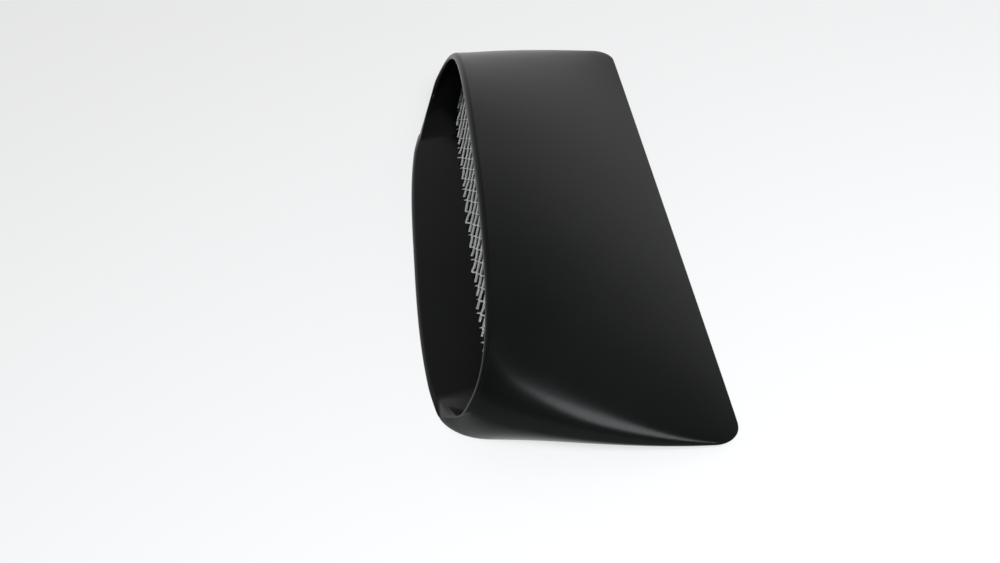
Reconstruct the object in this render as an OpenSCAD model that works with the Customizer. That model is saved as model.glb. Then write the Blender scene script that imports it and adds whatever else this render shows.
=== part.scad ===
// Bonnet scoop: a fan-shaped fibreglass moulding with an oval front mouth,
// a flat floor lip, an air outlet in the underside and a mesh guard inside.
// X runs from the mouth to the rear edge, Y across the bonnet, Z up.

/* [Overall] */
// Length from the nose of the floor lip to the rear edge
length = 242; // [210:0.5:300]
// Width across the front corners at the base, before they are rounded
front_w = 473; // [445:1:520]
// Width across the rear corners at the base, before they are rounded
rear_w = 607; // [540:1:700]
// Height of the skin at the middle of the mouth
height = 118; // [95:0.5:140]
// Thickness of the rear edge
tail_h = 4; // [4:0.5:8]

/* [Mouth] */
// Angle by which the mouth leans back from upright
rake = 32; // [20:0.2:45]
// Distance by which the sides of the mouth curve back at half height
mouth_sweep = 10; // [0:0.5:14]
// Height of the widest point of a section, as a share of its crown
mid_share = 0.34; // [0.3:0.01:0.5]
// Width of the flat floor of the duct
floor_w = 387; // [330:1:396]
// Distance by which the floor lip bows forward at its middle
floor_bow = 10.5; // [4:0.5:20]
// Width on which the bow is measured, at whose ends the floor lip has turned back level
bow_w = 420; // [390:1:440]
// Power of the curve that carries the floor lip round into its corners
bow_power = 3.1; // [2.5:0.1:6]
// Power of the fade by which the bow dies out up to the widest line
bow_fade = 1.5; // [1:0.1:3]
// Thickness of the rolled lip
lip_t = 7.5; // [4:0.5:9]
// Power of the curve that rounds the lip over: 2 is half an ellipse
lip_power = 2.5; // [2:0.1:4]
// Distance from the front corners of the base over which the roll of the lip grows
roll_ease = 25; // [10:1:50]
// Power of the curve that rounds the lower corners of the duct
duct_power = 2.7; // [1.4:0.1:3.2]

/* [Skin] */
// Thickness of the laminate
wall_t = 4; // [2.5:0.5:5]
// Distance behind the lip over which it thins to the wall
lip_run = 18; // [10:1:60]
// Swell of the side walls beyond the base line, at the mouth
side_bulge = 9; // [2:0.5:18]
// Further swell of the side walls, halfway back
side_swell = 14.5; // [0:0.5:20]
// Power of the curve from the side over the shoulder to the crown
shoulder_power = 2.35; // [2.2:0.05:4]
// Power of the curve that tucks the side walls in to the base
tuck_power = 1.4; // [1.1:0.1:3]
// Rise of the crown line above a straight line, halfway back
crown_rise = 3.5; // [0:0.5:8]

/* [Corners] */
// Length of the rounded front corners at the base
front_corner_l = 41; // [30:1:80]
// Width of the rounded front corners at the base
front_corner_w = 24; // [12:1:36]
// Radius of the rear corners
rear_corner_r = 21; // [10:1:50]

/* [Underside] */
// Thickness of the floor and of the bonding flange
floor_t = 4; // [3:0.5:5]
// Distance from the mouth corners to the end of the oval duct
duct_l = 74; // [68:1:85]
// Width of the flange beside the outlet
flange_w = 24; // [16:1:36]
// Width of the floor left between the oval duct and the outlet
floor_land = 10; // [4:1:20]
// Length of the solid tail behind the hollow
tail_l = 22; // [16:1:34]
// Width of the flange between the outlet and the solid tail
tail_land = 14; // [6:1:30]
// Corner radius of the outlet
outlet_r = 16; // [6:1:30]

/* [Mesh] */
// Distance from the mouth corners to the mesh, along the floor
mesh_x = 47; // [38:1:52]
// Long way of a mesh diamond, across the bonnet
mesh_long = 19; // [12:0.5:30]
// Short way of a mesh diamond, up the sheet
mesh_short = 12.5; // [8:0.5:20]
// Width of a mesh strand
strand_w = 1.5; // [1:0.1:2.5]
// Thickness of the mesh sheet
mesh_t = 1.2; // [0.8:0.1:2]
// Least gap between the cut edge of the mesh and the duct
mesh_gap = 0.3; // [0.2:0.1:0.6]

/* [Bond] */
// Length of the bonding strip along the duct
bond_l = 16; // [10:1:18]
// Thickness of the bonding strip
bond_t = 3; // [1.5:0.5:4]
// Gap taken by the glue on each side of the bonding strip
bond_gap = 0.2; // [0.1:0.1:0.5]

/* [Hidden] */

// Numbers of facets: across half the floor, up a side, over a shoulder,
// along the skin, along each part of the duct and round the lip
floor_n = 5;
side_n = 6;
shoulder_n = 15;
skin_n = 34;
duct_n = 9;
lip_n = 6;
// Distance by which a cutting body passes the faces that it cuts
over = 1;
// Distance along the body over which the oval duct steps out to the rear hollow
step_l = 1;

// Where the lip starts at the base. The nose of the floor lip stands forward of it by the
// bow and by half the floor's thickness, which is rolled over.
lip_x = (1 - tan(rake)) * floor_t / 2 + floor_bow - length / 2;
corner_x = lip_x - lip_t / 2;
rear_x = length / 2;
run = rear_x - lip_x;

// Places along the body, with 0 at the lip and 1 at the rear edge
function at(x) = (x - lip_x) / run;
duct_end = at(corner_x + duct_l);
hollow_end = at(rear_x - tail_l);
mesh_at = at(corner_x + mesh_x);

function mix(a, b, s) = a + (b - a) * s;
function flip(points) = [for (p = points) [p[0], -p[1], p[2]]];
function reversed(list) = [for (i = [len(list) - 1:-1:0]) list[i]];
function inner(list) = [for (i = [1:len(list) - 2]) list[i]];

// Lines that the sections follow: the base, the crown and the straight sides
function base_x(s) = mix(lip_x, rear_x, s);
function crown_x(s) = mix(lip_x + height * tan(rake), rear_x, s);
function crown_z(s) = mix(height, tail_h, s) + crown_rise * 4 * s * (1 - s);
function lean(s) = (crown_x(s) - base_x(s)) / crown_z(s);
function side_line(x) = mix(front_w, rear_w, (x - corner_x) / (rear_x - corner_x)) / 2;

// How far an elliptical corner draws the side in, at a distance u from its end
function corner(u, r_along, r_across) =
    r_across * (1 - sqrt(1 - pow(1 - min(max(u / r_along, 0), 1), 2)));
function front_drop(x) = corner(x - lip_x, front_corner_l, front_corner_w);
function rear_drop(x) = corner(rear_x - x, rear_corner_r, rear_corner_r);

// Half widths of a section at the base and at its widest line
function base_y(s) = let (x = base_x(s)) side_line(x) - front_drop(x) - rear_drop(x);
function wide_y(s) =
    let (x = base_x(s) + lean(s) * crown_z(s) * mid_share)
    side_line(x) - rear_drop(x) + side_bulge * (1 - s) + side_swell * 4 * s * (1 - s);

// The mouth's bowed floor lip, which goes on turning back round its corners, and its
// swept sides. Both die out at the mesh, and the bow dies out at the widest line.
function nose_shift(s, y, z, top) =
    let (
        fade = pow(max(1 - s / mesh_at, 0), 2),
        up = z / top,
        above_floor = max(z - floor_t, 0) / top,
        low = pow(max(1 - above_floor / mid_share, 0), bow_fade),
        bow = floor_bow * (1 - pow(abs(y) / (bow_w / 2), bow_power))
    )
    fade * (mouth_sweep * 4 * up * (1 - up) - bow * low);

function place(s, y, z, top) = [base_x(s) + lean(s) * z + nose_shift(s, y, z, top), y, z];

// One side of a section, from its foot up to the crown
function half_section(s, top, bottom, side, foot, power) =
    let (mid = mix(bottom, top, mid_share), e = 2 / shoulder_power)
    concat(
        [for (u = [0:1 / side_n:1 - 0.5 / side_n])
            place(s, side - (side - foot) * pow(1 - u, power), mix(bottom, mid, u), top)],
        [for (i = [0:shoulder_n])
            let (a = 90 * i / shoulder_n)
            place(s, side * pow(cos(a), e), mix(mid, top, pow(sin(a), e)), top)]
    );

// A whole section: along the bottom, up one side, over the crown and down the other side
function close(half, s, top, bottom, foot) =
    concat(
        [for (i = [1 - floor_n:floor_n - 1])
            place(s, foot * sin(90 * i / floor_n), bottom, top)],
        half,
        inner(reversed(flip(half))),
        [flip(half)[0]]
    );

function skin_section(s) =
    close(
        half_section(s, crown_z(s), 0, wide_y(s), base_y(s), tuck_power),
        s, crown_z(s), 0, base_y(s)
    );

// The duct lies inside the skin by the wall, and a piece fitted in it by a further gap.
// It is oval as far as duct_end, and behind that it follows the skin down to the base.
function wall(s) = mix(lip_t, wall_t, min(s * run / lip_run, 1));
function duct_top(s, gap) = crown_z(s) - (wall(s) + gap) * cos(rake);
function duct_side(s, gap) = wide_y(s) - wall(s) - gap;
function duct_foot(s, gap) = (s <= duct_end ? floor_w / 2 : base_y(s) - wall_t) - gap;
function duct_half(s, gap = 0) =
    half_section(s, duct_top(s, gap), floor_t + gap, duct_side(s, gap), duct_foot(s, gap),
        s <= duct_end ? duct_power : tuck_power);
function duct_section(s, gap = 0) =
    close(duct_half(s, gap), s, duct_top(s, gap), floor_t + gap, duct_foot(s, gap));

// How far the lip rolls forward of a point on the first section of the skin: half its
// thickness, which grows from the floor's, and nothing at the front corners of the base
function lip_reach(p) =
    let (
        thick = mix(floor_t, lip_t, min(p[2] / (height * mid_share), 1)),
        near = min(norm([abs(p[1]) - base_y(0), p[2]]) / roll_ease, 1)
    )
    thick / 2 * near * near * (3 - 2 * near);

// The rolled lip, in front of the first sections of skin and duct
function lip_section(a) =
    let (
        outer = skin_section(0),
        duct = duct_section(0),
        e = 2 / lip_power,
        across = (1 - sign(cos(a)) * pow(abs(cos(a)), e)) / 2
    )
    [for (j = [0:len(outer) - 1])
        mix(outer[j], duct[j], across) - [lip_reach(outer[j]) * pow(sin(a), e), 0, 0]];

function middle(points) =
    [for (k = [0:2]) (min([for (p = points) p[k]]) + max([for (p = points) p[k]])) / 2];

// A closed body through rings of equal length, with a fan of facets over each end
module loft(rings) {
    n = len(rings[0]);
    m = len(rings);
    points = concat([for (r = rings) each r], [middle(rings[0]), middle(rings[m - 1])]);
    sides = [for (i = [0:m - 2], j = [0:n - 1])
        let (a = i * n + j, b = i * n + (j + 1) % n)
        each [[a, b, b + n], [a, b + n, a + n]]];
    ends = [for (j = [0:n - 1])
        let (k = (j + 1) % n)
        each [[m * n, k, j], [m * n + 1, (m - 1) * n + j, (m - 1) * n + k]]];
    polyhedron(points, concat(sides, ends));
}

// The outlet in the underside, inside the flange
module outlet() {
    front = base_x(duct_end) + floor_land + outlet_r;
    rear = base_x(hollow_end) - tail_land - outlet_r;
    translate([0, 0, -over])
    linear_extrude(floor_t + 2 * over)
    hull()
    for (x = [front, rear], side = [-1, 1])
        translate([x, side * (side_line(x) - flange_w - outlet_r)])
        circle(outlet_r, $fn = 32);
}

module scoop_shell() {
    skin = [for (i = [0:skin_n]) skin_section((1 + cos(180 * i / skin_n)) / 2)];
    lip = [for (i = [1:lip_n - 1]) lip_section(180 * i / lip_n)];
    oval_duct = [for (i = [0:duct_n]) duct_section(duct_end * i / duct_n)];
    step = duct_end + step_l / run;
    rear_hollow = [for (i = [0:duct_n]) duct_section(mix(step, hollow_end, i / duct_n))];
    color("#26282a")
    difference() {
        loft(concat(skin, lip, oval_duct, rear_hollow));
        outlet();
    }
}

// Expanded metal: zigzag strands, each joined to the next at its knuckles, cut to
// the duct's outline and left open where the cut edge stands on the floor
module mesh_insert() {
    tilt = atan(lean(mesh_at));
    edge_gap = mesh_gap + mesh_t * sin(tilt);
    outline = [for (p = duct_section(mesh_at, edge_gap)) [p[1], p[2] / cos(tilt)]];
    columns = ceil(wide_y(mesh_at) / mesh_long);
    rows = ceil(crown_z(mesh_at) / cos(tilt) / mesh_short) * 2;
    rise = mesh_short / 2;
    half_strand = strand_w / 2 / cos(atan(mesh_short / mesh_long));
    color("#a9abac")
    translate([base_x(mesh_at), 0, 0])
    rotate([90 + tilt, 0, 90])
    linear_extrude(mesh_t)
    intersection() {
        polygon(outline);
        for (row = [0:rows])
            let (line = [for (i = [-2 * columns:2 * columns])
                [i * mesh_long / 2, (row + abs(i + row) % 2) * rise]])
            polygon(concat(
                [for (p = line) p + [0, half_strand]],
                [for (p = reversed(line)) p - [0, half_strand]]
            ));
    }
}

// Glass tape and resin behind the edge of the mesh, from one widest line over to the other
module mesh_bond() {
    tilt = atan(lean(mesh_at));
    front = mesh_at + (mesh_t + bond_gap) / cos(tilt) / run;
    rear = front + bond_l / run;
    function arch(s, gap) =
        let (half = duct_half(s, gap), upper = [for (i = [side_n:len(half) - 1]) half[i]])
        concat(upper, [for (i = [len(upper) - 2:-1:0]) flip(upper)[i]]);
    outer_front = arch(front, bond_gap);
    outer_rear = arch(rear, bond_gap);
    inner_rear = arch(rear, bond_gap + bond_t);
    inner_front = arch(front, bond_gap + bond_t);
    color("#6f6a55")
    loft([for (j = [0:len(outer_front) - 1])
        [outer_front[j], outer_rear[j], inner_rear[j], inner_front[j]]]);
}

scoop_shell();
mesh_insert();
mesh_bond();
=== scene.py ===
import bpy
from math import atan, ceil, cos, pi, radians, sin, sqrt, tan
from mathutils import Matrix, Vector


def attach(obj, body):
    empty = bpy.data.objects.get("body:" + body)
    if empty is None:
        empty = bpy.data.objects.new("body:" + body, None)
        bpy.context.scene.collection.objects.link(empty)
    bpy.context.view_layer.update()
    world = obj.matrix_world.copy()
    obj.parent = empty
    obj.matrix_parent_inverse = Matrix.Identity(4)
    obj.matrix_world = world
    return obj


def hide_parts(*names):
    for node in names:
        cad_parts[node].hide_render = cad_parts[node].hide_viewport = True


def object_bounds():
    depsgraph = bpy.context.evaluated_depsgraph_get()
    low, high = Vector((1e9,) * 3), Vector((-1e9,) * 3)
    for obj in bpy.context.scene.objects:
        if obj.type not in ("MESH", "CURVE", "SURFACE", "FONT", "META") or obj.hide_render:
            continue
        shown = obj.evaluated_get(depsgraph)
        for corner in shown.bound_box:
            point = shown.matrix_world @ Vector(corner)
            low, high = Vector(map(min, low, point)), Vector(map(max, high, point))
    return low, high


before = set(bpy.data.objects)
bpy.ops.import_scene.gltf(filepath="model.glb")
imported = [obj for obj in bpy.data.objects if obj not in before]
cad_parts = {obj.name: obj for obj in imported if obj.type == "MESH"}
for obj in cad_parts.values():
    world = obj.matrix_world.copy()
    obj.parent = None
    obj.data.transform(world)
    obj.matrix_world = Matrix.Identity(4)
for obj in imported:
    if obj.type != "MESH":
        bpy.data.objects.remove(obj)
cad_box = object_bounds()


# Camera. It stands off the scoop's near side and looks down over it, rolled so that the
# near side runs downhill in the picture.
CAMERA_PLACE = (0.0083, -0.86817, 0.67169)
CAMERA_TURN = (49.463, 10.58, -5.31)
CAMERA_LENS, CAMERA_SENSOR = 41.432, 36

camera = bpy.data.objects.new("camera", bpy.data.cameras.new("camera"))
camera.location = CAMERA_PLACE
camera.rotation_euler = [radians(a) for a in CAMERA_TURN]
camera.data.sensor_width = CAMERA_SENSOR
camera.data.lens = CAMERA_LENS
camera.data.clip_start = 0.01
bpy.context.scene.collection.objects.link(camera)
bpy.context.scene.camera = camera


# Studio. A pale painted table that runs on into a pale backdrop, and one broad softbox
# above the near side. The room behind the camera is dark, which keeps the primer black.
FLOOR_TONE = "#f6f6f6"
FLOOR_GLOW = 0.7
TABLE_REACH = 4.0
# The shade under the scoop: half its length, half its width in the middle, what that gains
# a metre towards the rear, and the fade at its edge
SHADE_X, SHADE_Y, SHADE_SPREAD, SHADE_FADE = 0.095, 0.245, 0.26, 0.01
BACKDROP_TONE = "#f4f4f4"
CEILING_TONE = "#b5b5b5"
ROOM_TONE = "#1e1f20"
# How steep a ray is, as a sine, where the backdrop starts to dim and where it is the
# ceiling's tone, and the same for the dark side of the room; then that side's soft border
DIM_FROM, DIM_TO = 0.05, 0.85
DARK_FROM, DARK_TO = 0.06, 0.3
SIDE_FADE = 0.3
SOFTBOX_TONE = "#f6faff"
SOFTBOX_PLACE = (0.35, -1.22, 1.25)
SOFTBOX_AIM = (0.04, -0.2, 0.05)
SOFTBOX_W, SOFTBOX_H, SOFTBOX_WATTS = 0.95, 0.58, 36


def linear(hex_tone):
    """An sRGB hex colour as the linear values that shaders take."""
    parts = [int(hex_tone[i:i + 2], 16) / 255 for i in (1, 3, 5)]
    return [p / 12.92 if p <= 0.04045 else ((p + 0.055) / 1.055) ** 2.4 for p in parts] + [1]


def add(tree, kind, inputs=None, **settings):
    """A new node with its settings, and with a value or a link on each named input."""
    node = tree.nodes.new(kind)
    for name, value in settings.items():
        setattr(node, name, value)
    for name, value in (inputs or {}).items():
        if isinstance(value, bpy.types.NodeSocket):
            tree.links.new(value, node.inputs[name])
        else:
            node.inputs[name].default_value = value
    return node


def blank_material(name):
    material = bpy.data.materials.new(name)
    material.use_nodes = True
    material.node_tree.nodes.clear()
    return material


# Painted table top: matt, with part of its tone given to the camera and to reflections
# so that it stays pale, while the rest is lit and keeps the shadow.
table_paint = blank_material("matt white table paint")
tree = table_paint.node_tree
rays = add(tree, "ShaderNodeLightPath")
seen = add(tree, "ShaderNodeMath", {0: rays.outputs["Is Camera Ray"],
           1: rays.outputs["Is Glossy Ray"]}, operation="MAXIMUM")
seen = add(tree, "ShaderNodeMath", {0: seen.outputs[0], 1: rays.outputs["Is Transmission Ray"]},
           operation="MAXIMUM")
share = add(tree, "ShaderNodeMath", {0: seen.outputs[0], 1: FLOOR_GLOW}, operation="MULTIPLY")
# Under the scoop the table keeps its full shade, as seen through the mouth and the guard
where = add(tree, "ShaderNodeTexCoord").outputs["Object"]
where = add(tree, "ShaderNodeSeparateXYZ", {0: where})
from_middle = add(tree, "ShaderNodeMath", {0: where.outputs["X"]}, operation="ABSOLUTE")
across = add(tree, "ShaderNodeMath", {0: where.outputs["Y"]}, operation="ABSOLUTE")
across = add(tree, "ShaderNodeMath", {0: where.outputs["X"], 1: -SHADE_SPREAD,
             2: across.outputs[0]}, operation="MULTIPLY_ADD")
beside = add(tree, "ShaderNodeMapRange", {"Value": from_middle.outputs[0],
             "From Min": SHADE_X, "From Max": SHADE_X + SHADE_FADE})
beyond = add(tree, "ShaderNodeMapRange", {"Value": across.outputs[0],
             "From Min": SHADE_Y, "From Max": SHADE_Y + SHADE_FADE})
open_table = add(tree, "ShaderNodeMath", {0: beside.outputs[0], 1: beyond.outputs[0]},
                 operation="MAXIMUM")
share = add(tree, "ShaderNodeMath", {0: share.outputs[0], 1: open_table.outputs[0]},
            operation="MULTIPLY")
lit = add(tree, "ShaderNodeBsdfDiffuse", {"Color": linear(FLOOR_TONE)})
shown = add(tree, "ShaderNodeEmission", {"Color": linear(FLOOR_TONE), "Strength": 1.0})
both = add(tree, "ShaderNodeMixShader", {0: share.outputs[0], 1: lit.outputs[0],
           2: shown.outputs[0]})
add(tree, "ShaderNodeOutputMaterial", {"Surface": both.outputs[0]})

table = bpy.data.objects.new("table", bpy.data.meshes.new("table"))
table.data.from_pydata([(x * TABLE_REACH, y * TABLE_REACH, 0)
                        for x, y in ((-1, -1), (1, -1), (1, 1), (-1, 1))], [], [(0, 1, 2, 3)])
table.data.materials.append(table_paint)
bpy.context.scene.collection.objects.link(table)

# The room: pale at the horizon all round, grey overhead, dark above and behind the camera
room = bpy.data.worlds.new("studio room")
bpy.context.scene.world = room
bpy.context.scene.view_settings.view_transform = "Standard"
room.use_nodes = True
tree = room.node_tree
tree.nodes.clear()
ray_way = add(tree, "ShaderNodeTexCoord")
ray = add(tree, "ShaderNodeSeparateXYZ", {0: ray_way.outputs["Generated"]})
dimmed = add(tree, "ShaderNodeMapRange", {"Value": ray.outputs["Z"], "From Min": DIM_FROM,
             "From Max": DIM_TO}, interpolation_type="SMOOTHSTEP")
near_side = add(tree, "ShaderNodeMapRange", {"Value": ray.outputs["Y"], "From Min": SIDE_FADE,
                "From Max": -SIDE_FADE}, interpolation_type="SMOOTHSTEP")
tone = add(tree, "ShaderNodeMix", {0: dimmed.outputs[0], 6: linear(BACKDROP_TONE),
           7: linear(CEILING_TONE)}, data_type="RGBA")
over_table = add(tree, "ShaderNodeMapRange", {"Value": ray.outputs["Z"], "From Min": DARK_FROM,
                 "From Max": DARK_TO}, interpolation_type="SMOOTHSTEP")
dark = add(tree, "ShaderNodeMath", {0: near_side.outputs[0], 1: over_table.outputs[0]},
           operation="MULTIPLY")
tone = add(tree, "ShaderNodeMix", {0: dark.outputs[0], 6: tone.outputs[2], 7: linear(ROOM_TONE)},
           data_type="RGBA")
glow = add(tree, "ShaderNodeBackground", {"Color": tone.outputs[2], "Strength": 1.0})
add(tree, "ShaderNodeOutputWorld", {"Surface": glow.outputs[0]})

# The softbox: its reflection is the one bright streak along the near shoulder
softbox = bpy.data.objects.new("gridded softbox",
                               bpy.data.lights.new("gridded softbox", "AREA"))
softbox.data.shape = "RECTANGLE"
softbox.data.size, softbox.data.size_y = SOFTBOX_W, SOFTBOX_H
softbox.data.energy = SOFTBOX_WATTS
softbox.data.color = linear(SOFTBOX_TONE)[:3]
softbox.location = SOFTBOX_PLACE
aim = Vector(SOFTBOX_AIM) - Vector(SOFTBOX_PLACE)
softbox.rotation_euler = aim.to_track_quat("-Z", "Y").to_euler()
bpy.context.scene.collection.objects.link(softbox)


# Scoop shell. One fibreglass moulding, laid by hand in a female mould, which stands on the
# bonnet on its flat base: black primer gelcoat on the skin, over the rolled lip and as far
# as the guard, and bare laminate behind it and underneath.
MM = 0.001
LENGTH, HEIGHT, TAIL_H = 242, 118, 4
FRONT_W, REAR_W = 473, 607
RAKE = radians(32)
MOUTH_SWEEP, MID_SHARE, FLOOR_W = 10, 0.34, 387
FLOOR_BOW, BOW_W, BOW_POWER, BOW_FADE = 10.5, 420, 3.1, 1.5
LIP_T, WALL_T, FLOOR_T, LIP_RUN = 7.5, 4, 4, 18
LIP_POWER, ROLL_EASE, CORNER_BLEND = 2.5, 25, 35
SIDE_BULGE, SIDE_SWELL, CROWN_RISE = 9, 14.5, 3.5
SHOULDER_POWER, TUCK_POWER, DUCT_POWER = 2.35, 1.4, 2.7
FRONT_CORNER_L, FRONT_CORNER_W, REAR_CORNER_R = 41, 24, 21
DUCT_L, TAIL_L = 74, 22
FLANGE_W, FLOOR_LAND, TAIL_LAND, OUTLET_R = 24, 10, 14, 16
MESH_X = 47
# Steps round a half section and along the skin, the lip and the two parts of the duct
FLOOR_N, SIDE_N, SHOULDER_N = 20, 14, 40
SKIN_N, LIP_N, DUCT_N, OUTLET_N = 110, 16, 36, 8
# The duct's square back edge, the cutter's overshoot, the share of the length by which the
# gelcoat passes the guard, and the layer at the base that is bare laminate
BACK_EDGE, CUT_PAST, GELCOAT_PAST, BASE_LAYER = 1, 1, 0.03, 0.6
EDGE_EASE, EASE_ANGLE, SHARP_ANGLE, BLEND_PASSES = 0.7, 50, 40, 30
PRIMER_BLACK = "#0a0b0a"
PRIMER_DUST = "#121312"
PRIMER_ROUGH, PRIMER_DULL, PRIMER_SHEEN = 0.18, 0.23, 0.07
# A fibre strand's length, width and depth in the laminate, and the ways that strands lie
FIBRE_SIZE, FIBRE_TURNS = (35, 1.3, 4), (12, 58, 101, 149)
RESIN_DEEP, RESIN_THIN = "#1b1a17", "#2e2b24"
STRAND_TONE = "#57523f"

lip_x = (1 - tan(RAKE)) * FLOOR_T / 2 + FLOOR_BOW - LENGTH / 2
corner_x = lip_x - LIP_T / 2
rear_x = LENGTH / 2
run = rear_x - lip_x


def at(x):
    return (x - lip_x) / run


duct_end, hollow_end, mesh_at = at(corner_x + DUCT_L), at(rear_x - TAIL_L), at(corner_x + MESH_X)


def mix(a, b, t):
    return a + (b - a) * t


def base_x(s):
    return mix(lip_x, rear_x, s)


def crown_z(s):
    return mix(HEIGHT, TAIL_H, s) + CROWN_RISE * 4 * s * (1 - s)


def lean(s):
    return (mix(lip_x + HEIGHT * tan(RAKE), rear_x, s) - base_x(s)) / crown_z(s)


def side_line(x):
    return mix(FRONT_W, REAR_W, (x - corner_x) / (rear_x - corner_x)) / 2


def corner_drop(u, along, across):
    rest = 1 - min(max(u / along, 0), 1)
    return across * (1 - sqrt(1 - rest * rest))


def base_y(s):
    x = base_x(s)
    return (side_line(x) - corner_drop(x - lip_x, FRONT_CORNER_L, FRONT_CORNER_W)
            - corner_drop(rear_x - x, REAR_CORNER_R, REAR_CORNER_R))


def wide_y(s):
    x = base_x(s) + lean(s) * crown_z(s) * MID_SHARE
    return (side_line(x) - corner_drop(rear_x - x, REAR_CORNER_R, REAR_CORNER_R)
            + SIDE_BULGE * (1 - s) + SIDE_SWELL * 4 * s * (1 - s))


def mouth_shift(s, y, z, top):
    """The bowed floor lip and the swept sides of the mouth, which die out at the guard."""
    up, above_floor = z / top, max(z - FLOOR_T, 0) / top
    bow = FLOOR_BOW * (1 - (abs(y) / (BOW_W / 2)) ** BOW_POWER)
    bow *= max(1 - above_floor / MID_SHARE, 0) ** BOW_FADE
    return max(1 - s / mesh_at, 0) ** 2 * (MOUTH_SWEEP * 4 * up * (1 - up) - bow)


def section(s, top, bottom, side, foot, power):
    """A closed ring: along the bottom, up the far side, over the crown and down again."""
    mid, e = mix(bottom, top, MID_SHARE), 2 / SHOULDER_POWER
    far = [(foot * sin(pi / 2 * i / FLOOR_N), bottom) for i in range(FLOOR_N)]
    for i in range(SIDE_N):
        u = i / SIDE_N
        far.append((side - (side - foot) * (1 - u) ** power, mix(bottom, mid, u)))
    for i in range(SHOULDER_N + 1):
        a = pi / 2 * i / SHOULDER_N
        far.append((side * max(cos(a), 0) ** e, mix(mid, top, sin(a) ** e)))
    ring = far + [(-y, z) for y, z in far[-2:0:-1]]
    return [Vector((base_x(s) + lean(s) * z + mouth_shift(s, y, z, top), y, z)) for y, z in ring]


def skin_section(s):
    return section(s, crown_z(s), 0, wide_y(s), base_y(s), TUCK_POWER)


def duct_sizes(s, gap=0):
    wall = mix(LIP_T, WALL_T, min(s * run / LIP_RUN, 1))
    oval = s <= duct_end
    foot = (FLOOR_W / 2 if oval else base_y(s) - WALL_T) - gap
    return (crown_z(s) - (wall + gap) * cos(RAKE), FLOOR_T + gap, wide_y(s) - wall - gap, foot,
            DUCT_POWER if oval else TUCK_POWER)


def duct_section(s):
    return section(s, *duct_sizes(s))


def lip_reach(p):
    """How far the lip rolls forward: least on the floor, nothing at the base's corners."""
    thick = mix(FLOOR_T, LIP_T, min(p.z / (HEIGHT * MID_SHARE), 1))
    near = min(sqrt((abs(p.y) - base_y(0)) ** 2 + p.z ** 2) / ROLL_EASE, 1)
    return thick / 2 * near * near * (3 - 2 * near)


def lip_section(a, outer, duct):
    """The rolled lip: two rounded edges with a nearly flat face between them."""
    across = (1 - abs(cos(a)) ** (2 / LIP_POWER) * (1 if cos(a) > 0 else -1)) / 2
    forward = Vector((sin(a) ** (2 / LIP_POWER), 0, 0))
    return [p.lerp(q, across) - forward * lip_reach(p) for p, q in zip(outer, duct)]


rings, finishes = [], []
for i in range(SKIN_N + 1):
    rings.append(skin_section((1 + cos(pi * i / SKIN_N)) / 2))
    finishes.append(0)
outer, duct = skin_section(0), duct_section(0)
for i in range(1, LIP_N):
    rings.append(lip_section(pi * i / LIP_N, outer, duct))
    finishes.append(0)
for i in range(DUCT_N + 1):
    s = duct_end * i / DUCT_N
    rings.append(duct_section(s))
    finishes.append(0 if s < mesh_at + GELCOAT_PAST else 1)
for i in range(DUCT_N + 1):
    rings.append(duct_section(mix(duct_end + BACK_EDGE / run, hollow_end, i / DUCT_N)))
    finishes.append(1)

around = len(rings[0])
mesh = bpy.data.meshes.new("scoop")
faces = [(i * around + j, i * around + (j + 1) % around,
          (i + 1) * around + (j + 1) % around, (i + 1) * around + j)
         for i in range(len(rings) - 1) for j in range(around)]
tones = [finishes[i] for i in range(len(rings) - 1) for j in range(around)]
faces += [tuple(reversed(range(around))),
          tuple((len(rings) - 1) * around + j for j in range(around))]
tones += [0, 1]
mesh.from_pydata([p * MM for ring in rings for p in ring], [], faces)
mesh.polygons.foreach_set("material_index", tones)


def plain_copy(source, name):
    """The evaluated object as a plain mesh, with its modifiers used up."""
    graph = bpy.context.evaluated_depsgraph_get()
    result = bpy.data.meshes.new_from_object(source.evaluated_get(graph))
    result.name = name
    source.modifiers.clear()
    source.data = result
    source.name = name


def outlet_cutter():
    """A rounded slab that cuts the outlet through the floor."""
    front = base_x(duct_end) + FLOOR_LAND + OUTLET_R
    rear = base_x(hollow_end) - TAIL_LAND - OUTLET_R
    outline = []
    for x, side, start in ((front, -1, 180), (rear, -1, 270), (rear, 1, 0), (front, 1, 90)):
        y = side * (side_line(x) - FLANGE_W - OUTLET_R)
        for i in range(OUTLET_N + 1):
            a = radians(start + 90 * i / OUTLET_N)
            outline.append((x + OUTLET_R * cos(a), y + OUTLET_R * sin(a)))
    n = len(outline)
    points = [Vector((x, y, z)) * MM for z in (-CUT_PAST, FLOOR_T + CUT_PAST) for x, y in outline]
    cutter = bpy.data.meshes.new("outlet")
    cutter.from_pydata(points, [], [tuple(reversed(range(n))), tuple(range(n, 2 * n))]
                       + [(i, (i + 1) % n, n + (i + 1) % n, n + i) for i in range(n)])
    return bpy.data.objects.new("outlet", cutter)


# Satin primer gelcoat: black and even, with a weak sheen, the faint orange peel of a
# sprayed mould coat, and a fine dusting that dulls the sheen in soft patches.
primer = blank_material("satin black primer gelcoat")
tree = primer.node_tree
where = add(tree, "ShaderNodeTexCoord").outputs["Object"]
# Soft patches about 70 mm across, and dust specks about 1 mm across
patches = add(tree, "ShaderNodeTexNoise", {"Vector": where, "Scale": 14.0, "Detail": 4.0})
specks = add(tree, "ShaderNodeTexNoise", {"Vector": where, "Scale": 900.0, "Detail": 2.0})
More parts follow.
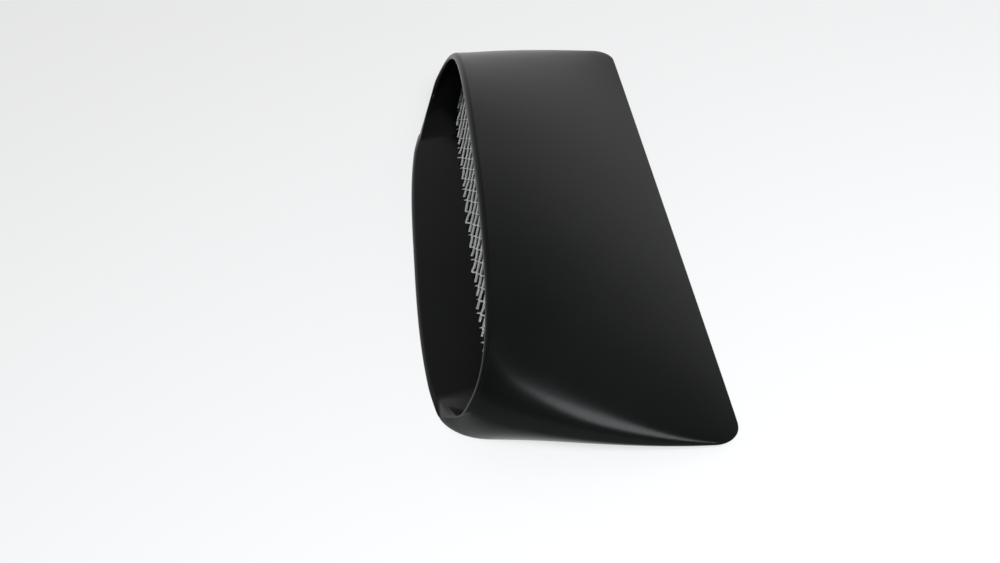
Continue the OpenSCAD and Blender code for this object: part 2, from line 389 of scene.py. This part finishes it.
# Orange peel: ripples about 4 mm across
peel = add(tree, "ShaderNodeTexNoise", {"Vector": where, "Scale": 240.0, "Detail": 2.0})
tone = add(tree, "ShaderNodeMix", {0: patches.outputs[0], 6: linear(PRIMER_BLACK),
           7: linear(PRIMER_DUST)}, data_type="RGBA")
dulling = add(tree, "ShaderNodeMapRange", {"Value": patches.outputs[0], "From Min": 0.3,
              "From Max": 0.7, "To Min": PRIMER_ROUGH, "To Max": PRIMER_DULL})
grain = add(tree, "ShaderNodeMath", {0: specks.outputs[0], 1: 0.06, 2: dulling.outputs[0]},
            operation="MULTIPLY_ADD")
ripple = add(tree, "ShaderNodeBump", {"Height": peel.outputs[0], "Strength": 0.06,
             "Distance": 0.0004})
ripple = add(tree, "ShaderNodeBump", {"Height": specks.outputs[0], "Strength": 0.05,
             "Distance": 0.0002, "Normal": ripple.outputs[0]})
coat = add(tree, "ShaderNodeBsdfPrincipled", {"Base Color": tone.outputs[2],
           "Roughness": grain.outputs[0], "IOR": 1.5, "Specular IOR Level": PRIMER_SHEEN,
           "Normal": ripple.outputs[0]})
add(tree, "ShaderNodeOutputMaterial", {"Surface": coat.outputs[0]})

# Bare laminate: chopped strands about 35 mm long and 1.3 mm wide, laid every way in resin
# that is brown over the black gelcoat, and rough with the ends of the strands.
laminate = blank_material("bare chopped strand laminate")
tree = laminate.node_tree
where = add(tree, "ShaderNodeTexCoord").outputs["Object"]
strands = None
for turn in FIBRE_TURNS:
    turned = add(tree, "ShaderNodeMapping", {"Vector": where,
                 "Rotation": (0.0, 0.0, radians(turn)),
                 "Scale": [size * MM for size in FIBRE_SIZE]}, vector_type="TEXTURE")
    streak = add(tree, "ShaderNodeTexNoise", {"Vector": turned.outputs[0], "Scale": 1.0,
                 "Detail": 1.0})
    streak = add(tree, "ShaderNodeMapRange", {"Value": streak.outputs[0], "From Min": 0.58,
                 "From Max": 0.68, "To Max": 0.7})
    strands = streak if strands is None else add(
        tree, "ShaderNodeMath", {0: strands.outputs[0], 1: streak.outputs[0]},
        operation="MAXIMUM")
# Wetter and drier resin, in patches about 30 mm across
wet = add(tree, "ShaderNodeTexNoise", {"Vector": where, "Scale": 35.0, "Detail": 3.0})
resin = add(tree, "ShaderNodeMix", {0: wet.outputs[0], 6: linear(RESIN_DEEP),
            7: linear(RESIN_THIN)}, data_type="RGBA")
tone = add(tree, "ShaderNodeMix", {0: strands.outputs[0], 6: resin.outputs[2],
           7: linear(STRAND_TONE)}, data_type="RGBA")
gloss = add(tree, "ShaderNodeMapRange", {"Value": wet.outputs[0], "To Min": 0.35, "To Max": 0.6})
relief = add(tree, "ShaderNodeBump", {"Height": strands.outputs[0], "Strength": 0.5,
             "Distance": 0.0006})
skin = add(tree, "ShaderNodeBsdfPrincipled", {"Base Color": tone.outputs[2],
           "Roughness": gloss.outputs[0], "IOR": 1.54, "Normal": relief.outputs[0]})
add(tree, "ShaderNodeOutputMaterial", {"Surface": skin.outputs[0]})

scoop = bpy.data.objects.new("scoop", mesh)
bpy.context.scene.collection.objects.link(scoop)
mesh.materials.append(primer)
mesh.materials.append(laminate)
# The base's front corners run smoothly into the lip
corner_zone = scoop.vertex_groups.new(name="front corners")
for point in mesh.vertices:
    away = (Vector((point.co.x, abs(point.co.y), point.co.z))
            - Vector((lip_x, base_y(0), 0)) * MM).length
    corner_zone.add([point.index], max(1 - away / (CORNER_BLEND * MM), 0), "REPLACE")
blend = scoop.modifiers.new("blended corners", "SMOOTH")
blend.vertex_group, blend.factor, blend.iterations = "front corners", 0.5, BLEND_PASSES
blend.use_z = False
cutter = outlet_cutter()
bpy.context.scene.collection.objects.link(cutter)
cut = scoop.modifiers.new("outlet", "BOOLEAN")
cut.operation, cut.object, cut.solver = "DIFFERENCE", cutter, "EXACT"
eased = scoop.modifiers.new("eased edges", "BEVEL")
eased.width, eased.segments, eased.limit_method = EDGE_EASE * MM, 2, "ANGLE"
eased.angle_limit = radians(EASE_ANGLE)
plain_copy(scoop, "moulded_scoop")
bpy.data.objects.remove(cutter)
# The lip is kept within the overall size
for point in scoop.data.vertices:
    point.co = [min(max(c, low), high) for c, low, high in zip(point.co, *cad_box)]
# The flat base is bare laminate like the hollow behind the duct
for face in scoop.data.polygons:
    if face.center.z < BASE_LAYER * MM and face.normal.z < -0.8:
        face.material_index = 1
    face.use_smooth = True
scoop.data.set_sharp_from_angle(angle=radians(SHARP_ANGLE))
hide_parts("scoop_shell")
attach(scoop, "root")


# Mesh guard. Raw expanded aluminium, slit and stretched into diamonds about 19 by 12.5 mm,
# cut by hand to the duct and set back from the mouth. Its lower edge stands open on the
# floor, with cut strands that stick forward.
MESH_LONG, MESH_SHORT = 19, 12.5
STRAND_W, MESH_T, MESH_GAP = 2.5, 0.6, 0.3
STRAND_TWIST, STRAND_STEPS = 52, 16
# The flat share of each strand at a knuckle, and the most that the snips leave uneven
KNUCKLE, SNIP = 0.1, 2
SHEET_WAVE, END_SPLAY, SPLAY_H, SPLAY_POWER = 2, 4, 28, 1.6
# It sets where the waves, the snips and the tufts of cut strands fall
SEED = 3.0
METAL_BRIGHT, METAL_OXIDE = "#e2e4e4", "#c6c8c8"

guard_tree = bpy.data.node_groups.new("expanded metal", "GeometryNodeTree")
inputs = {}
for name, kind in (
    ("Long way", "NodeSocketFloat"), ("Short way", "NodeSocketFloat"),
    ("Strand width", "NodeSocketFloat"), ("Thickness", "NodeSocketFloat"),
    ("Strand twist", "NodeSocketFloat"), ("Columns", "NodeSocketInt"), ("Rows", "NodeSocketInt"),
    ("Steps", "NodeSocketInt"), ("Duct side", "NodeSocketFloat"), ("Duct top", "NodeSocketFloat"),
    ("Duct middle", "NodeSocketFloat"), ("Duct bottom", "NodeSocketFloat"),
    ("Duct foot", "NodeSocketFloat"), ("Shoulder power", "NodeSocketFloat"),
    ("Corner power", "NodeSocketFloat"), ("Lean", "NodeSocketFloat"),
    ("Base", "NodeSocketFloat"), ("Wave", "NodeSocketFloat"), ("Splay", "NodeSocketFloat"),
    ("Splay height", "NodeSocketFloat"), ("Seed", "NodeSocketFloat"),
    ("Metal", "NodeSocketMaterial"),
):
    inputs[name] = guard_tree.interface.new_socket(name, in_out="INPUT", socket_type=kind)
guard_tree.interface.new_socket("Geometry", in_out="OUTPUT", socket_type="NodeSocketGeometry")
tree = guard_tree
given = add(tree, "NodeGroupInput").outputs

# Rows of straight strands, half a short way apart, each with a point at every step
pitch = add(tree, "ShaderNodeMath", {0: given["Long way"], 1: given["Steps"]}, operation="DIVIDE")
step = add(tree, "ShaderNodeCombineXYZ", {"X": pitch.outputs[0]})
count = add(tree, "ShaderNodeMath", {0: given["Columns"], 1: given["Steps"], 2: 1.0},
            operation="MULTIPLY_ADD")
start = add(tree, "ShaderNodeMath", {0: given["Columns"], 1: -0.5}, operation="MULTIPLY")
start = add(tree, "ShaderNodeMath", {0: start.outputs[0], 1: given["Long way"]},
            operation="MULTIPLY")
start = add(tree, "ShaderNodeCombineXYZ", {"X": start.outputs[0]})
strand = add(tree, "GeometryNodeMeshLine", {"Count": count.outputs[0],
             "Start Location": start.outputs[0], "Offset": step.outputs[0]})
rise = add(tree, "ShaderNodeMath", {0: given["Short way"], 1: 0.5}, operation="MULTIPLY")
lift = add(tree, "ShaderNodeCombineXYZ", {"Y": rise.outputs[0]})
row_places = add(tree, "GeometryNodeMeshLine", {"Count": given["Rows"],
                 "Offset": lift.outputs[0]})
rows = add(tree, "GeometryNodeInstanceOnPoints", {"Points": row_places.outputs[0],
           "Instance": strand.outputs[0]})
rows = add(tree, "GeometryNodeRealizeInstances", {"Geometry": rows.outputs[0]})

# Each row becomes a zigzag that meets the next row at flat knuckles
spot = add(tree, "GeometryNodeInputPosition")
spot = add(tree, "ShaderNodeSeparateXYZ", {0: spot.outputs[0]})
row = add(tree, "ShaderNodeMath", {0: spot.outputs["Y"], 1: rise.outputs[0]}, operation="DIVIDE")
half_long = add(tree, "ShaderNodeMath", {0: given["Long way"], 1: 0.5}, operation="MULTIPLY")
column = add(tree, "ShaderNodeMath", {0: spot.outputs["X"], 1: half_long.outputs[0]},
             operation="DIVIDE")
phase = add(tree, "ShaderNodeMath", {0: row.outputs[0], 1: column.outputs[0]}, operation="ADD")
swing = add(tree, "ShaderNodeMath", {0: phase.outputs[0], 1: 1.0}, operation="PINGPONG")
swing = add(tree, "ShaderNodeMapRange", {"Value": swing.outputs[0], "From Min": KNUCKLE,
            "From Max": 1 - KNUCKLE})
swing = add(tree, "ShaderNodeMath", {0: swing.outputs[0], 1: rise.outputs[0]},
            operation="MULTIPLY")
swing = add(tree, "ShaderNodeCombineXYZ", {"Y": swing.outputs[0]})
zigzag = add(tree, "GeometryNodeSetPosition", {"Geometry": rows.outputs[0],
             "Offset": swing.outputs[0]})

# The cut: nothing outside the duct's outline, and an uneven lower edge
spot = add(tree, "GeometryNodeInputPosition")
place = add(tree, "ShaderNodeSeparateXYZ", {0: spot.outputs[0]})
upright = add(tree, "ShaderNodeMath", {0: given["Lean"]}, operation="COSINE")
level = add(tree, "ShaderNodeMath", {0: place.outputs["Y"], 1: upright.outputs[0]},
            operation="MULTIPLY")
over_share = add(tree, "ShaderNodeMapRange", {"Value": level.outputs[0],
                 "From Min": given["Duct middle"], "From Max": given["Duct top"]})
over_share = add(tree, "ShaderNodeMath", {0: over_share.outputs[0], 1: given["Shoulder power"]},
                 operation="POWER")
over_share = add(tree, "ShaderNodeMath", {0: 1.0, 1: over_share.outputs[0]}, operation="SUBTRACT")
root_power = add(tree, "ShaderNodeMath", {0: 1.0, 1: given["Shoulder power"]}, operation="DIVIDE")
over_share = add(tree, "ShaderNodeMath", {0: over_share.outputs[0], 1: root_power.outputs[0]},
                 operation="POWER")
upper = add(tree, "ShaderNodeMath", {0: over_share.outputs[0], 1: given["Duct side"]},
            operation="MULTIPLY")
under_share = add(tree, "ShaderNodeMapRange", {"Value": level.outputs[0],
                  "From Min": given["Duct middle"], "From Max": given["Duct bottom"]})
under_share = add(tree, "ShaderNodeMath", {0: under_share.outputs[0], 1: given["Corner power"]},
                  operation="POWER")
tuck = add(tree, "ShaderNodeMath", {0: given["Duct side"], 1: given["Duct foot"]},
           operation="SUBTRACT")
tuck = add(tree, "ShaderNodeMath", {0: under_share.outputs[0], 1: tuck.outputs[0]},
           operation="MULTIPLY")
reach = add(tree, "ShaderNodeMath", {0: upper.outputs[0], 1: tuck.outputs[0]},
            operation="SUBTRACT")
across = add(tree, "ShaderNodeMath", {0: place.outputs["X"]}, operation="ABSOLUTE")
outside = add(tree, "FunctionNodeCompare", {0: across.outputs[0], 1: reach.outputs[0]},
              operation="GREATER_THAN")
# Snips change along the edge every 6 mm or so
snips = add(tree, "ShaderNodeTexNoise", {"Vector": spot.outputs[0], "W": given["Seed"],
            "Scale": 160.0, "Detail": 0.0}, noise_dimensions="4D")
snip = add(tree, "ShaderNodeMapRange", {"Value": snips.outputs[0], "From Min": 0.35,
           "From Max": 0.65, "To Max": SNIP * MM})
low_edge = add(tree, "ShaderNodeMath", {0: given["Duct bottom"], 1: snip.outputs[0]},
               operation="ADD")
below = add(tree, "FunctionNodeCompare", {0: level.outputs[0], 1: low_edge.outputs[0]},
            operation="LESS_THAN")
above = add(tree, "FunctionNodeCompare", {0: level.outputs[0], 1: given["Duct top"]},
            operation="GREATER_THAN")
waste = add(tree, "FunctionNodeBooleanMath", {0: outside.outputs[0], 1: below.outputs[0]},
            operation="OR")
waste = add(tree, "FunctionNodeBooleanMath", {0: waste.outputs[0], 1: above.outputs[0]},
            operation="OR")
trimmed = add(tree, "GeometryNodeDeleteGeometry", {"Geometry": zigzag.outputs[0],
              "Selection": waste.outputs[0]}, domain="POINT")

# The sheet is slightly wavy, in waves about 55 mm long, and its cut strands splay towards
# the mouth in tufts about 17 mm wide
waves = add(tree, "ShaderNodeTexNoise", {"Vector": spot.outputs[0], "W": given["Seed"],
            "Scale": 18.0, "Detail": 1.0}, noise_dimensions="4D")
wave = add(tree, "ShaderNodeMath", {0: waves.outputs[0], 1: 0.5}, operation="SUBTRACT")
wave = add(tree, "ShaderNodeMath", {0: wave.outputs[0], 1: given["Wave"]}, operation="MULTIPLY")
near_edge = add(tree, "ShaderNodeMapRange", {"Value": level.outputs[0],
                "From Min": given["Splay height"], "From Max": given["Duct bottom"]})
near_edge = add(tree, "ShaderNodeMath", {0: near_edge.outputs[0], 1: SPLAY_POWER},
                operation="POWER")
fray = add(tree, "ShaderNodeTexNoise", {"Vector": spot.outputs[0], "W": given["Seed"],
           "Scale": 60.0, "Detail": 0.0}, noise_dimensions="4D")
fray = add(tree, "ShaderNodeMapRange", {"Value": fray.outputs[0], "From Min": 0.42,
           "From Max": 0.68, "To Min": 0.6})
splay = add(tree, "ShaderNodeMath", {0: fray.outputs[0], 1: near_edge.outputs[0]},
            operation="MULTIPLY")
splay = add(tree, "ShaderNodeMath", {0: splay.outputs[0], 1: given["Splay"]},
            operation="MULTIPLY")
out = add(tree, "ShaderNodeMath", {0: wave.outputs[0], 1: splay.outputs[0]}, operation="SUBTRACT")
out = add(tree, "ShaderNodeCombineXYZ", {"Z": out.outputs[0]})
bent = add(tree, "GeometryNodeSetPosition", {"Geometry": trimmed.outputs[0],
           "Offset": out.outputs[0]})

# Every strand is a flat strip, turned about its own length by the stretching
lines = add(tree, "GeometryNodeMeshToCurve", {"Mesh": bent.outputs[0]})
level_strips = add(tree, "GeometryNodeSetCurveNormal", {"Curve": lines.outputs[0]}, mode="Z_UP")
twisted = add(tree, "GeometryNodeSetCurveTilt", {"Curve": level_strips.outputs[0],
              "Tilt": given["Strand twist"]})
strip = add(tree, "GeometryNodeCurvePrimitiveQuadrilateral", {"Width": given["Strand width"],
            "Height": given["Thickness"]}, mode="RECTANGLE")
metal_strips = add(tree, "GeometryNodeCurveToMesh", {"Curve": twisted.outputs[0],
                   "Profile Curve": strip.outputs[0], "Fill Caps": True})

# The flat sheet is stood up in the duct, parallel to the mouth
quarter = add(tree, "ShaderNodeMath", {0: given["Lean"], 1: radians(90)}, operation="ADD")
turn = add(tree, "ShaderNodeCombineXYZ", {"X": quarter.outputs[0], "Z": radians(90)})
shift = add(tree, "ShaderNodeCombineXYZ", {"X": given["Base"]})
stood = add(tree, "GeometryNodeTransform", {"Geometry": metal_strips.outputs[0],
            "Translation": shift.outputs[0], "Rotation": turn.outputs[0]})
whole = add(tree, "GeometryNodeRealizeInstances", {"Geometry": stood.outputs[0]})
finished = add(tree, "GeometryNodeSetMaterial", {"Geometry": whole.outputs[0],
               "Material": given["Metal"]})
add(tree, "NodeGroupOutput", {"Geometry": finished.outputs[0]})

# Raw aluminium: bright rolled sheet, a little greyer in cloudy patches of oxide about
# 17 mm across, with fine lines from the rolls, 0.4 mm apart and about 8 mm long.
aluminium = blank_material("raw expanded aluminium")
tree = aluminium.node_tree
where = add(tree, "ShaderNodeTexCoord").outputs["Object"]
oxide = add(tree, "ShaderNodeTexNoise", {"Vector": where, "Scale": 60.0, "Detail": 4.0})
rolled = add(tree, "ShaderNodeMapping", {"Vector": where, "Scale": (2500.0, 120.0, 2500.0)})
rolled = add(tree, "ShaderNodeTexNoise", {"Vector": rolled.outputs[0], "Scale": 1.0})
tone = add(tree, "ShaderNodeMix", {0: oxide.outputs[0], 6: linear(METAL_BRIGHT),
           7: linear(METAL_OXIDE)}, data_type="RGBA")
dull = add(tree, "ShaderNodeMapRange", {"Value": rolled.outputs[0], "To Min": 0.32,
           "To Max": 0.55})
roll_marks = add(tree, "ShaderNodeBump", {"Height": rolled.outputs[0], "Strength": 0.15,
                 "Distance": 0.0001})
metal = add(tree, "ShaderNodeBsdfPrincipled", {"Base Color": tone.outputs[2], "Metallic": 1.0,
            "Roughness": dull.outputs[0], "Normal": roll_marks.outputs[0]})
add(tree, "ShaderNodeOutputMaterial", {"Surface": metal.outputs[0]})

sheet_lean = atan(lean(mesh_at))
edge_gap = MESH_GAP + MESH_T * sin(sheet_lean)
top, bottom, side, foot, power = duct_sizes(mesh_at, edge_gap)
sizes = {
    "Long way": MESH_LONG * MM, "Short way": MESH_SHORT * MM, "Strand width": STRAND_W * MM,
    "Thickness": MESH_T * MM, "Strand twist": radians(STRAND_TWIST),
    "Columns": 2 * ceil(side / MESH_LONG),
    "Rows": ceil(top / cos(sheet_lean) / MESH_SHORT) * 2 + 1,
    "Steps": STRAND_STEPS, "Duct side": side * MM, "Duct top": top * MM,
    "Duct middle": mix(bottom, top, MID_SHARE) * MM, "Duct bottom": bottom * MM,
    "Duct foot": foot * MM, "Shoulder power": SHOULDER_POWER, "Corner power": power,
    "Lean": sheet_lean, "Base": (base_x(mesh_at) + MESH_T / 2 * cos(sheet_lean)) * MM,
    "Wave": SHEET_WAVE * MM, "Splay": END_SPLAY * MM, "Splay height": SPLAY_H * MM,
    "Seed": SEED, "Metal": aluminium,
}
guard = bpy.data.objects.new("guard", bpy.data.meshes.new("guard"))
bpy.context.scene.collection.objects.link(guard)
maker = guard.modifiers.new("expanded metal", "NODES")
maker.node_group = guard_tree
for name, value in sizes.items():
    maker[inputs[name].identifier] = value
plain_copy(guard, "mesh_guard")
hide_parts("mesh_insert")
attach(guard, "root")


# Bond behind the guard. Glass tape and resin, laid by hand over the back edge of the
# guard, which hold it to the duct.
RESIN_AMBER, TAPE_PALE = "#5a5138", "#8b8263"

# Glass tape in cured resin: amber and lumpy, in lumps about 12 mm across, with the weave
# of the tape showing through.
tape = blank_material("glass tape in cured resin")
tree = tape.node_tree
where = add(tree, "ShaderNodeTexCoord").outputs["Object"]
pools = add(tree, "ShaderNodeTexNoise", {"Vector": where, "Scale": 80.0, "Detail": 3.0})
# Weave of the tape: bundles about 5 mm apart
weave = add(tree, "ShaderNodeTexWave", {"Vector": where, "Scale": 64.0, "Distortion": 1.5,
            "Detail": 1.0}, bands_direction="Y")
tone = add(tree, "ShaderNodeMix", {0: pools.outputs[0], 6: linear(RESIN_AMBER),
           7: linear(TAPE_PALE)}, data_type="RGBA")
tone = add(tree, "ShaderNodeMix", {0: 0.35, 6: tone.outputs[2], 7: weave.outputs[0]},
           data_type="RGBA", blend_type="SOFT_LIGHT")
lumps = add(tree, "ShaderNodeBump", {"Height": pools.outputs[0], "Strength": 0.6,
            "Distance": 0.0015})
lumps = add(tree, "ShaderNodeBump", {"Height": weave.outputs[0], "Strength": 0.3,
            "Distance": 0.0004, "Normal": lumps.outputs[0]})
cured = add(tree, "ShaderNodeBsdfPrincipled", {"Base Color": tone.outputs[2], "Roughness": 0.35,
            "IOR": 1.54, "Normal": lumps.outputs[0]})
add(tree, "ShaderNodeOutputMaterial", {"Surface": cured.outputs[0]})
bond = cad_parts["mesh_bond"]
bond.data.materials.clear()
bond.data.materials.append(tape)
